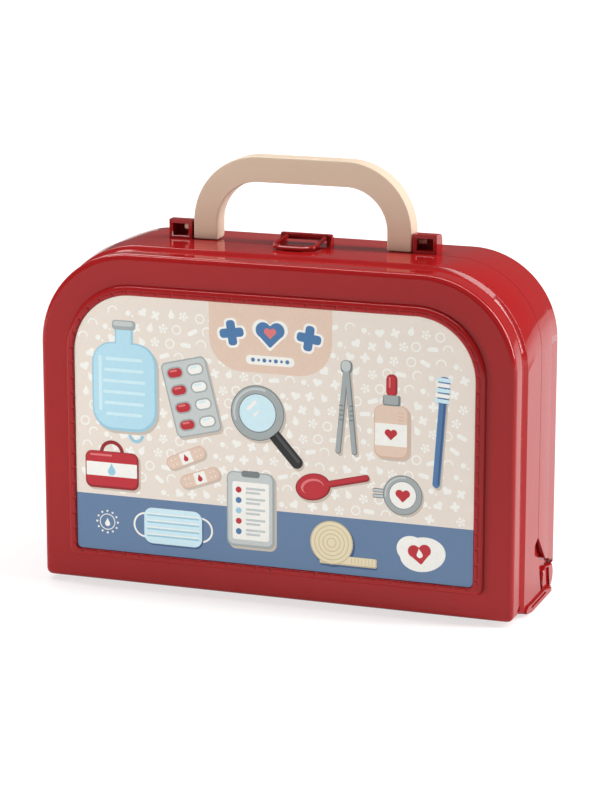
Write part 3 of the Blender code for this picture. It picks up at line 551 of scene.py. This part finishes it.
MARK_LINES, MARKS_PER_LINE = 15, 28
FIRST_MARK_X, FIRST_MARK_Z = -138, 70
MARK_PITCH_X, MARK_PITCH_Z = 10.4, 9.4
MARK_DRIFT_X, MARK_DRIFT_Z, MARK_TURN = 1.2, 1.1, 40
MARK_REACH = 4.2
PETAL_ANGLE = 1.2566
PETAL_OUT = 2.3
chance = random.Random(12)
mark_count = 0
for line_number in range(MARK_LINES):
    shift = MARK_PITCH_X / 2 if line_number % 2 else 0
    for place_number in range(MARKS_PER_LINE):
        x = FIRST_MARK_X + MARK_PITCH_X * place_number + shift + chance.uniform(-MARK_DRIFT_X, MARK_DRIFT_X)
        z = FIRST_MARK_Z + MARK_PITCH_Z * line_number + chance.uniform(-MARK_DRIFT_Z, MARK_DRIFT_Z)
        kind = (place_number * 3 + line_number * 5) % 8
        turn = chance.uniform(-MARK_TURN, MARK_TURN)
        if not on_cream(x, z, MARK_REACH):
            continue
        mark_count += 1
        if kind == 0:
            plus("white", x, z, 6.6, 2.3, 1, turn)
        elif kind == 1:
            ring("white", x, z, 2.9, 1.0, 1)
        elif kind == 2:
            disc("white", x, z, 1.9, 1, steps=16)
            disc("white", x + 3.2, z - 1.8, 0.8, 1, steps=12)
        elif kind == 3:
            drop("white", x, z, 2.2, 1, turn)
        elif kind == 4:
            bar("white", x, z, 7.6, 3.0, 1.45, 1, turn)
        elif kind == 5:
            heart("white", x, z, 6.2, 1, turn)
        elif kind == 6:
            disc("white", x, z, 1.0, 1, steps=12)
            # the first petal may point anywhere, so turn is read as radians here
            for petal in range(5):
                angle = petal * PETAL_ANGLE + turn
                petal_x, petal_z = x + PETAL_OUT * math.cos(angle), z + PETAL_OUT * math.sin(angle)
                disc("white", petal_x, petal_z, 1.05, 1 + 0.1 * petal, steps=12)
        else:
            ring("white", x, z, 3.1, 1.0, 1, turn, turn + 200)
print(mark_count, "small marks")

# %% Peach tab at the top
tab_foot = 158.5
tab_top = card_high.z * 1000
bar("peach", 0, (tab_foot + tab_top) / 2 - 0.1, 86, tab_top - tab_foot, 24, 2,
    corners=(True, True, False, False))
for x, size in ((-27, 17), (27, 17)):
    plus("white", x, 184, size + 3.2, 9.2, 3, 8 if x < 0 else -8, 3.4)
    plus("blue", x, 184, size, 6.2, 4, 8 if x < 0 else -8, 2.4)
heart("white", 0, 185, 23.5, 3)
heart("blue", 0, 185, 19, 4)
heart("pale_red", 0, 185.6, 8, 5)
bar("white", 0, 167, 34, 6.4, 3.2, 3)
for number in range(7):
    disc("blue", -12 + 4 * number, 167, 1.0 if number % 2 else 1.4, 4, steps=16)

# %% Hot-water bottle
bottle_x, bottle_z = -104.0, 141.0
bar("shadow", bottle_x + 1.6, bottle_z - 1.8, 47, 61, 15, 3)
bar("deep_sky", bottle_x, bottle_z, 47, 61, 15, 4)
bar("sky", bottle_x - 0.4, bottle_z + 0.5, 44, 58, 13.5, 5)
bar("deep_sky", bottle_x, bottle_z + 35, 13, 14, 3, 4.4)
bar("sky", bottle_x - 0.3, bottle_z + 34, 10.4, 14, 2, 5.4)
bar("grey", bottle_x, bottle_z + 42.5, 17, 6.5, 2.4, 6)
bar("pale_grey", bottle_x - 0.5, bottle_z + 43.4, 14, 3.2, 1.5, 7)
for number in range(6):
    bar("pale_sky", bottle_x - 0.4, bottle_z + 19 - 7.6 * number, 32 - 2.2 * abs(number - 2.5), 2.2, 1.1, 6)
ring("deep_sky", bottle_x + 8, bottle_z - 32.6, 4.4, 2.2, 3.6, 180, 360)
bar("pale_sky", bottle_x - 17.6, bottle_z + 2, 2.4, 38, 1.2, 6.4)

# %% Sheet of pills
sheet_x, sheet_z, sheet_turn = -56.0, 138.0, 14.0
bar("shadow", sheet_x + 1.4, sheet_z - 1.6, 33, 52, 4, 3, sheet_turn)
bar("grey", sheet_x, sheet_z, 33, 52, 4, 4, sheet_turn)
bar("pale_grey", sheet_x, sheet_z, 31, 50, 3.2, 5, sheet_turn)
for column in (-1, 1):
    for row_number in range(4):
        offset = Matrix.Rotation(math.radians(sheet_turn), 2) @ Vector((7.4 * column, 18 - 12 * row_number))
        x, z = sheet_x + offset.x, sheet_z + offset.y
        bar("grey", x, z, 12.4, 8.2, 4.1, 6, sheet_turn)
        bar("red" if column < 0 else "white", x, z, 10.2, 6, 3, 7, sheet_turn)
        bar("pale_red" if column < 0 else "pale_sky", x - 1, z + 1.3, 5.2, 1.3, 0.6, 8, sheet_turn)

# %% Magnifier
lens_x, lens_z = -9.0, 131.0
bar("shadow", lens_x + 21.4, lens_z - 25, 30, 8.6, 4, 3, -48)
ring("shadow", lens_x + 1.4, lens_z - 1.8, 15.6, 6.4, 3.4)
bar("black", lens_x + 20, lens_z - 23, 31, 8.4, 4, 5, -48)
bar("soft_black", lens_x + 20.8, lens_z - 22.0, 25, 2.2, 1.1, 6, -48)
bar("grey", lens_x + 11.2, lens_z - 13, 8, 5.4, 1, 4.6, -48)
disc("pale_sky", lens_x, lens_z, 14.5, 4)
ring("dark_grey", lens_x, lens_z, 15.8, 6.2, 5)
ring("grey", lens_x, lens_z, 15.8, 4.8, 6)
ring("pale_grey", lens_x, lens_z, 16.4, 1.5, 7, 70, 200)
bar("white", lens_x - 4, lens_z + 5, 9, 2.2, 1.1, 5.4, 45)
bar("white", lens_x - 1, lens_z - 0.5, 5, 1.5, 0.7, 5.4, 45)

# %% Care box
box_x, box_z = -114.0, 82.5
bar("shadow", box_x + 1.4, box_z - 1.4, 39, 26, 5, 3)
ring("deep_red", box_x, box_z + 12, 7.6, 2.6, 4, 0, 180)
bar("deep_red", box_x, box_z, 39, 26, 5, 4.4)
bar("red", box_x - 0.3, box_z + 0.6, 37, 23.8, 4.2, 5)
bar("white", box_x - 0.3, box_z + 0.4, 37, 9.6, 0.4, 6)
drop("deep_sky", box_x - 0.3, box_z - 0.9, 2.8, 7)
bar("pale_red", box_x - 8, box_z + 10.2, 16, 1.3, 0.6, 6)

# %% Tweezers
grip_x, grip_z = 53.0, 167.0
for side in (-1, 1):
    bar("shadow", grip_x + 1.4 + side * 3.1, grip_z - 31.4, 3.6, 58, 1.7, 3 + 0.2 * side, side * 5.4)
    bar("dark_grey", grip_x + side * 3.1, grip_z - 30, 3.8, 58, 1.8, 4 + 0.2 * side, side * 5.4)
    bar("grey", grip_x + side * 3.1 - 0.3, grip_z - 30, 2.7, 56.6, 1.3, 5 + 0.2 * side, side * 5.4)
    for number in range(4):
        bar("dark_grey", grip_x + side * 3.6, grip_z - 26 - 3.2 * number, 3.0, 0.9, 0.3, 6, side * 5.4)
bar("dark_grey", grip_x, grip_z, 8.2, 9, 3.4, 4.7)
bar("pale_grey", grip_x - 0.4, grip_z + 0.6, 6.2, 7, 2.6, 5.7)

# %% Dropper bottle
phial_x, phial_z = 84.0, 126.0
bar("shadow", phial_x + 1.4, phial_z - 1.4, 24, 36, 6, 3)
bar("deep_peach", phial_x, phial_z, 24, 36, 6, 4)
bar("peach", phial_x - 0.4, phial_z + 0.4, 22, 34, 5, 5)
bar("white", phial_x - 0.4, phial_z - 2, 22, 15, 0.5, 6)
heart("red", phial_x - 0.4, phial_z - 1.6, 8, 7)
bar("dark_grey", phial_x, phial_z + 21, 12, 7, 1.4, 4.6)
bar("grey", phial_x - 0.4, phial_z + 21.4, 9.6, 6, 1, 5.4)
bar("deep_red", phial_x, phial_z + 31, 7.6, 15, 3.6, 4.2)
bar("red", phial_x - 0.4, phial_z + 31.2, 5.8, 13.4, 2.8, 5)
bar("pale_red", phial_x - 1.5, phial_z + 33, 1.1, 7, 0.5, 6)
for number in range(4):
    bar("deep_peach", phial_x + 6.4, phial_z + 13 - 2.4 * number, 4, 0.6, 0.2, 6)

# %% Toothbrush
brush_x, brush_z = 117.0, 126.0
bar("shadow", brush_x + 1.2, brush_z - 1.6, 5.2, 70, 2.5, 3, -4)
bar("blue", brush_x, brush_z, 5.2, 70, 2.5, 4, -4)
bar("dark_blue", brush_x + 1.3, brush_z, 1.2, 66, 0.6, 5, -4)
bar("blue", brush_x + 2.1, brush_z + 30, 8, 19, 3.4, 4.4, -4)
for number in range(5):
    bar("white" if number % 2 else "pale_sky", brush_x + 1.0 + 0.25 * number, brush_z + 23.4 + 3.5 * number,
        9.6, 2.6, 0.8, 6, -4)

# %% Medicine spoon
spoon_x, spoon_z = 30.0, 84.0
bar("shadow", spoon_x + 22.6, spoon_z + 4.2, 36, 4.6, 2.2, 3, 14)
disc("shadow", spoon_x + 1.0, spoon_z - 1.6, 10, 3.2, (1.25, 0.92), 14)
bar("deep_red", spoon_x + 21.6, spoon_z + 5.4, 36, 4.8, 2.3, 4, 14)
bar("red", spoon_x + 21.4, spoon_z + 5.8, 34, 3.0, 1.5, 5, 14)
disc("deep_red", spoon_x, spoon_z, 10, 4.4, (1.25, 0.92), 14)
disc("red", spoon_x - 0.3, spoon_z + 0.3, 9.1, 5.2, (1.25, 0.92), 14)
disc("pale_red", spoon_x - 0.6, spoon_z + 0.2, 6.2, 6, (1.3, 0.86), 14)
disc("red", spoon_x + 0.2, spoon_z - 0.7, 5.6, 7, (1.3, 0.86), 14)

# %% Plasters
for number, (x, z, turn) in enumerate(((-60, 96, 24), (-50, 83, 20))):
    bar("shadow", x + 1, z - 1.2, 30, 9.4, 4.6, 3 + 0.3 * number, turn)
    bar("deep_peach", x, z, 30, 9.4, 4.6, 4 + 0.6 * number, turn)
    bar("peach", x, z, 28.8, 8.2, 4.0, 5 + 0.6 * number, turn)
    bar("white", x, z, 8.4, 8.2, 0.8, 6 + 0.6 * number, turn)
    drop("red", x, z - 0.8, 1.7, 7 + 0.6 * number, turn)
    across = Matrix.Rotation(math.radians(turn), 2)
    for column in (-11, -8, 8, 11):
        for line_offset in (-1.8, 1.8):
            spot = Vector((x, z)) + across @ Vector((column, line_offset))
            disc("white", spot.x, spot.y, 0.45, 6 + 0.6 * number, steps=10)

# %% Round badge with a heart
badge_x, badge_z = 92.0, 84.0
ring("shadow", badge_x + 1.2, badge_z - 1.4, 11.2, 4.4, 3)
ring("dark_grey", badge_x, badge_z, 11.2, 4.6, 4)
ring("grey", badge_x, badge_z, 11.2, 3.4, 5)
ring("pale_grey", badge_x, badge_z, 11.8, 1.0, 6, 80, 190)
disc("white", badge_x, badge_z, 9.1, 4.6)
heart("red", badge_x, badge_z - 0.2, 9.4, 6)
for side in (-1, 1):
    bar("dark_grey", badge_x - 16.6, badge_z + 1.9 * side, 8, 2.8, 1, 4.2 + 0.1 * side)
    bar("pale_grey", badge_x - 16.8, badge_z + 1.9 * side, 7, 1.6, 0.6, 5)

# %% Pictures on the blue band
mask_x, mask_z = -70.0, 46.5
for side in (-1, 1):
    ring("white", mask_x + 20 * side, mask_z, 8.2, 1.3, 3, 90 - 90 * side - 90, 90 - 90 * side + 90)
bar("dark_blue", mask_x + 0.8, mask_z - 1.2, 42, 25, 6, 3.6)
bar("pale_sky", mask_x, mask_z, 42, 25, 6, 4.2)
for number in range(4):
    bar("deep_sky", mask_x, mask_z + 7.2 - 4.8 * number, 38, 1.1, 0.5, 5)
    bar("white", mask_x, mask_z + 8.4 - 4.8 * number, 38, 0.8, 0.4, 5.4)

tablet_x, tablet_z = -14.0, 64.0
bar("shadow", tablet_x + 1.4, tablet_z - 1.6, 34, 52, 5, 3)
bar("grey", tablet_x, tablet_z, 34, 52, 5, 4)
bar("pale_grey", tablet_x - 0.4, tablet_z + 0.4, 31.4, 49.4, 4, 5)
bar("white", tablet_x, tablet_z - 1, 26, 40, 1.6, 6)
bar("dark_grey", tablet_x, tablet_z + 24.6, 13, 4.4, 1.8, 6)
for number in range(5):
    spot_ink = ("red", "blue", "deep_sky", "red", "blue")[number]
    disc(spot_ink, tablet_x - 8.6, tablet_z + 13.4 - 7.2 * number, 2.1, 7, steps=18)
    bar("pale_grey", tablet_x + 3.4, tablet_z + 14.6 - 7.2 * number, 14, 1.6, 0.8, 7)
    bar("pale_grey", tablet_x + 1.6, tablet_z + 11.8 - 7.2 * number, 10.4, 1.6, 0.8, 7)

roll_x, roll_z = 43.0, 47.0
bar("dark_blue", roll_x + 12, roll_z - 13.0, 40, 6.2, 1.4, 3)
disc("dark_blue", roll_x + 1.0, roll_z - 1.4, 15.4, 3.4)
bar("deep_linen", roll_x + 11.6, roll_z - 11.6, 40, 6.4, 1.2, 4)
bar("linen", roll_x + 11.4, roll_z - 11.2, 38.6, 5.2, 0.9, 5)
disc("deep_linen", roll_x, roll_z, 15, 5.4)
disc("linen", roll_x, roll_z, 14.2, 6)
for number in range(4):
    ring("deep_linen", roll_x, roll_z, 11.8 - 2.9 * number, 0.7, 7)
for number in range(8):
    bar("deep_linen", roll_x + 14 + 2.4 * number, roll_z - 11.2, 0.4, 4.4, 0.1, 6)

disc("white", 106, 45, 12, 3, (1.32, 0.98), 12)
disc("white", 98, 48, 9, 3.3, (1.1, 1.0), 0)
heart("red", 104, 45.4, 15, 4, 8)
drop("white", 104, 44.6, 2.1, 6, 8)
for number in range(12):
    angle = math.radians(30 * number)
    disc("white", -118 + 7.6 * math.cos(angle), 46 + 7.6 * math.sin(angle), 0.75, 3, steps=12)
ring("white", -118, 46, 5.4, 0.6, 3)
drop("white", -118, 44.8, 1.9, 3)

# %% Inks to pieces
GRAIN_DARK, GRAIN_LIGHT, BRIGHTEST_INK = 0.94, 1.05, 0.96


def print_ink(name, colour):
    """Coated ink: the drawn colour with a faint screen grain, satin like the paper."""
    material, nodes, links, shader = make_material(name, colour, PAPER_ROUGHNESS)
    grain = add_noise(nodes, links, 420.0, 3.0)
    dark, light = [v * GRAIN_DARK for v in colour], [min(v * GRAIN_LIGHT, BRIGHTEST_INK) for v in colour]
    links.new(add_mix(nodes, links, grain.outputs["Fac"], dark, light), shader.inputs["Base Color"])
    return material


for ink, drawing in sorted(ink_sheets.items()):
    bmesh.ops.recalc_face_normals(drawing, faces=drawing.faces)
    turned = [f for f in drawing.faces if f.normal.y > 0]
    bmesh.ops.reverse_faces(drawing, faces=turned)
    count = len(drawing.faces)
    colour = print_ink(f"ink_{ink}", INK_COLOURS[ink])
    printed = add_piece(f"print_{ink}", drawing, colour, "front_half", flat=True)
    plate = printed.modifiers.new("ink_thickness", "SOLIDIFY")
    plate.thickness = INK_DEPTH
    plate.offset = -1
    print(printed.name, count, "faces")

# %% The CAD box and the last line
bpy.context.view_layer.update()
print("CAD box", [[round(v, 4) for v in p] for p in cad_box])
